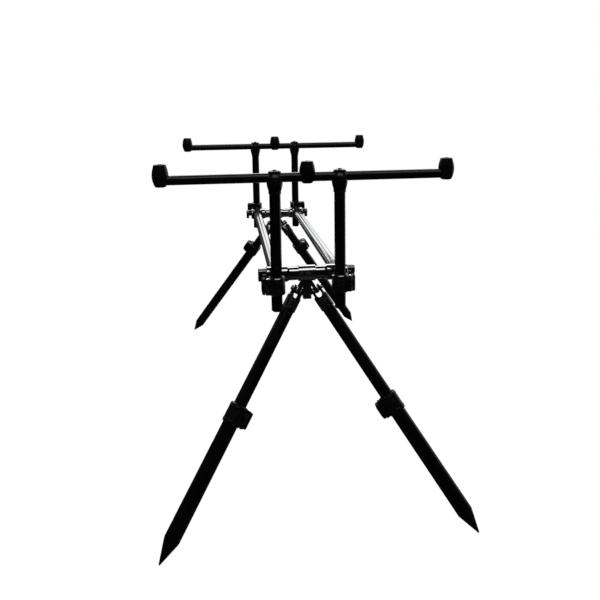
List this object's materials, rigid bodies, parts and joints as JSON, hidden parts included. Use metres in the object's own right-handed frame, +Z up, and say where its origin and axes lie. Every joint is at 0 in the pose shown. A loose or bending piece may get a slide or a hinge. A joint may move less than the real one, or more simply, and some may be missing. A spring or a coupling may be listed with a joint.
{
  "type": "fishing rod pod",
  "caption": "Adjustable fishing rod pod with twin telescopic rails, splayed telescopic legs, and raised rest bars with threaded alarm sockets.",
  "frame": {"origin": "on the ground, under the middle of the pod and midway between the front and rear feet", "axes": "+Z up, +Y along the rails from the front end to the rear end, +X along the rest bars to the right hand of someone who faces the pod's front"},
  "size_m": [0.509, 0.9932, 0.6116],
  "materials": {
    "black_tube": "gloss black anodised",
    "black_machined": "gloss black anodised, turned and milled",
    "black_plastic": "moulded, semi gloss black",
    "silver_tube": "bright anodised, drawn lengthwise",
    "bright_steel": "plain stainless, turned"
  },
  "bodies": {
    "front_frame": {"front_crossbar": "black_machined", "front_leg_bracket": "black_machined", "front_hinge_bolts": "bright_steel", "front_upright_clamps": "black_plastic", "left_rail_outer": "silver_tube", "right_rail_outer": "silver_tube"},
    "rear_frame": {"rear_crossbar": "black_machined", "rear_leg_bracket": "black_machined", "rear_hinge_bolts": "bright_steel", "rear_upright_clamps": "black_plastic", "left_rail_inner": "silver_tube", "right_rail_inner": "silver_tube"},
    "front_goalpost": {"front_left_upright": "black_tube", "front_right_upright": "black_tube", "front_upright_end_caps": "black_plastic", "front_bar_heads": "black_machined", "front_bar_head_caps": "black_machined", "front_rest_bar": "black_tube", "front_alarm_barrels": "black_machined", "front_alarm_inserts": "bright_steel"},
    "front_left_upright_lever": {"front_left_upright_lever": "black_plastic"},
    "front_left_rail_knob": {"front_left_rail_knob": "black_plastic"},
    "front_right_upright_lever": {"front_right_upright_lever": "black_plastic"},
    "front_right_rail_knob": {"front_right_rail_knob": "black_plastic"},
    "rear_goalpost": {"rear_left_upright": "black_tube", "rear_right_upright": "black_tube", "rear_upright_end_caps": "black_plastic", "rear_bar_heads": "black_machined", "rear_bar_head_caps": "black_machined", "rear_rest_bar": "black_tube", "rear_alarm_barrels": "black_machined", "rear_alarm_inserts": "bright_steel"},
    "rear_left_upright_lever": {"rear_left_upright_lever": "black_plastic"},
    "rear_left_rail_knob": {"rear_left_rail_knob": "black_plastic"},
    "rear_right_upright_lever": {"rear_right_upright_lever": "black_plastic"},
    "rear_right_rail_knob": {"rear_right_rail_knob": "black_plastic"},
    "front_left_leg": {"front_left_leg_yoke": "black_machined", "front_left_leg_upper_tube": "black_tube"},
    "front_left_leg_foot": {"front_left_leg_collar": "black_plastic", "front_left_leg_lower_tube": "black_tube", "front_left_leg_spike": "black_machined"},
    "front_left_leg_lever": {"front_left_leg_lever": "black_plastic"},
    "front_right_leg": {"front_right_leg_yoke": "black_machined", "front_right_leg_upper_tube": "black_tube"},
    "front_right_leg_foot": {"front_right_leg_collar": "black_plastic", "front_right_leg_lower_tube": "black_tube", "front_right_leg_spike": "black_machined"},
    "front_right_leg_lever": {"front_right_leg_lever": "black_plastic"},
    "rear_left_leg": {"rear_left_leg_yoke": "black_machined", "rear_left_leg_upper_tube": "black_tube"},
    "rear_left_leg_foot": {"rear_left_leg_collar": "black_plastic", "rear_left_leg_lower_tube": "black_tube", "rear_left_leg_spike": "black_machined"},
    "rear_left_leg_lever": {"rear_left_leg_lever": "black_plastic"},
    "rear_right_leg": {"rear_right_leg_yoke": "black_machined", "rear_right_leg_upper_tube": "black_tube"},
    "rear_right_leg_foot": {"rear_right_leg_collar": "black_plastic", "rear_right_leg_lower_tube": "black_tube", "rear_right_leg_spike": "black_machined"},
    "rear_right_leg_lever": {"rear_right_leg_lever": "black_plastic"}
  },
  "joints": [
    {"name": "rail_length", "type": "slide", "parent": "front_frame", "child": "rear_frame", "axis": [0, 1, 0], "range_m": [-0.02, 0.45]},
    {"name": "front_goalpost_height", "type": "slide", "parent": "front_frame", "child": "front_goalpost", "axis": [0, 0, 1], "range_m": [0, 0.026]},
    {"name": "front_left_upright_lever_swing", "type": "hinge", "parent": "front_frame", "child": "front_left_upright_lever", "pos_m": [-0.0708, -0.3585, 0.38625], "axis": [0, 0, 1], "range_deg": [0, 90]},
    {"name": "front_left_rail_knob_turn", "type": "hinge", "parent": "front_frame", "child": "front_left_rail_knob", "pos_m": [-0.0715, -0.326, 0.402], "axis": [-1, 0, 0], "range_deg": [0, 360]},
    {"name": "front_right_upright_lever_swing", "type": "hinge", "parent": "front_frame", "child": "front_right_upright_lever", "pos_m": [0.0708, -0.3585, 0.38625], "axis": [0, 0, -1], "range_deg": [0, 90]},
    {"name": "front_right_rail_knob_turn", "type": "hinge", "parent": "front_frame", "child": "front_right_rail_knob", "pos_m": [0.0715, -0.326, 0.402], "axis": [1, 0, 0], "range_deg": [0, 360]},
    {"name": "rear_goalpost_height", "type": "slide", "parent": "rear_frame", "child": "rear_goalpost", "axis": [0, 0, 1], "range_m": [-0.012, 0.03]},
    {"name": "rear_left_upright_lever_swing", "type": "hinge", "parent": "rear_frame", "child": "rear_left_upright_lever", "pos_m": [-0.0708, 0.3365, 0.41175], "axis": [0, 0, -1], "range_deg": [0, 90]},
    {"name": "rear_left_rail_knob_turn", "type": "hinge", "parent": "rear_frame", "child": "rear_left_rail_knob", "pos_m": [-0.0715, 0.304, 0.402], "axis": [-1, 0, 0], "range_deg": [0, 360]},
    {"name": "rear_right_upright_lever_swing", "type": "hinge", "parent": "rear_frame", "child": "rear_right_upright_lever", "pos_m": [0.0708, 0.3365, 0.41175], "axis": [0, 0, 1], "range_deg": [0, 90]},
    {"name": "rear_right_rail_knob_turn", "type": "hinge", "parent": "rear_frame", "child": "rear_right_rail_knob", "pos_m": [0.0715, 0.304, 0.402], "axis": [1, 0, 0], "range_deg": [0, 360]},
    {"name": "front_left_leg_fold", "type": "hinge", "parent": "front_frame", "child": "front_left_leg", "pos_m": [-0.01616, -0.326, 0.368], "axis": [0.8399, 0, -0.5428], "range_deg": [0, 105]},
    {"name": "front_left_leg_length", "type": "slide", "parent": "front_left_leg", "child": "front_left_leg_foot", "axis": [-0.5061, -0.3617, -0.783], "range_m": [-0.088, 0.06]},
    {"name": "front_left_leg_lever_swing", "type": "hinge", "parent": "front_left_leg_foot", "child": "front_left_leg_lever", "pos_m": [-0.11663, -0.41582, 0.18196], "axis": [-0.5061, -0.3617, -0.783], "range_deg": [0, 90]},
    {"name": "front_right_leg_fold", "type": "hinge", "parent": "front_frame", "child": "front_right_leg", "pos_m": [0.01616, -0.326, 0.368], "axis": [0.8399, 0, 0.5428], "range_deg": [0, 105]},
    {"name": "front_right_leg_length", "type": "slide", "parent": "front_right_leg", "child": "front_right_leg_foot", "axis": [0.5061, -0.3617, -0.783], "range_m": [-0.088, 0.06]},
    {"name": "front_right_leg_lever_swing", "type": "hinge", "parent": "front_right_leg_foot", "child": "front_right_leg_lever", "pos_m": [0.11958, -0.40184, 0.17741], "axis": [0.5061, -0.3617, -0.783], "range_deg": [0, 90]},
    {"name": "rear_left_leg_fold", "type": "hinge", "parent": "rear_frame", "child": "rear_left_leg", "pos_m": [-0.01616, 0.304, 0.368], "axis": [0.8399, 0, -0.5428], "range_deg": [-105, 0]},
    {"name": "rear_left_leg_length", "type": "slide", "parent": "rear_left_leg", "child": "rear_left_leg_foot", "axis": [-0.4972, 0.4013, -0.7692], "range_m": [-0.03, 0.17]},
    {"name": "rear_left_leg_lever_swing", "type": "hinge", "parent": "rear_left_leg_foot", "child": "rear_left_leg_lever", "pos_m": [-0.07918, 0.35181, 0.30107], "axis": [-0.4972, 0.4013, -0.7692], "range_deg": [0, 90]},
    {"name": "rear_right_leg_fold", "type": "hinge", "parent": "rear_frame", "child": "rear_right_leg", "pos_m": [0.01616, 0.304, 0.368], "axis": [0.8399, 0, 0.5428], "range_deg": [-105, 0]},
    {"name": "rear_right_leg_length", "type": "slide", "parent": "rear_right_leg", "child": "rear_right_leg_foot", "axis": [0.4972, 0.4013, -0.7692], "range_m": [-0.03, 0.17]},
    {"name": "rear_right_leg_lever_swing", "type": "hinge", "parent": "rear_right_leg_foot", "child": "rear_right_leg_lever", "pos_m": [0.08245, 0.33807, 0.29602], "axis": [0.4972, 0.4013, -0.7692], "range_deg": [0, 90]}
  ]
}
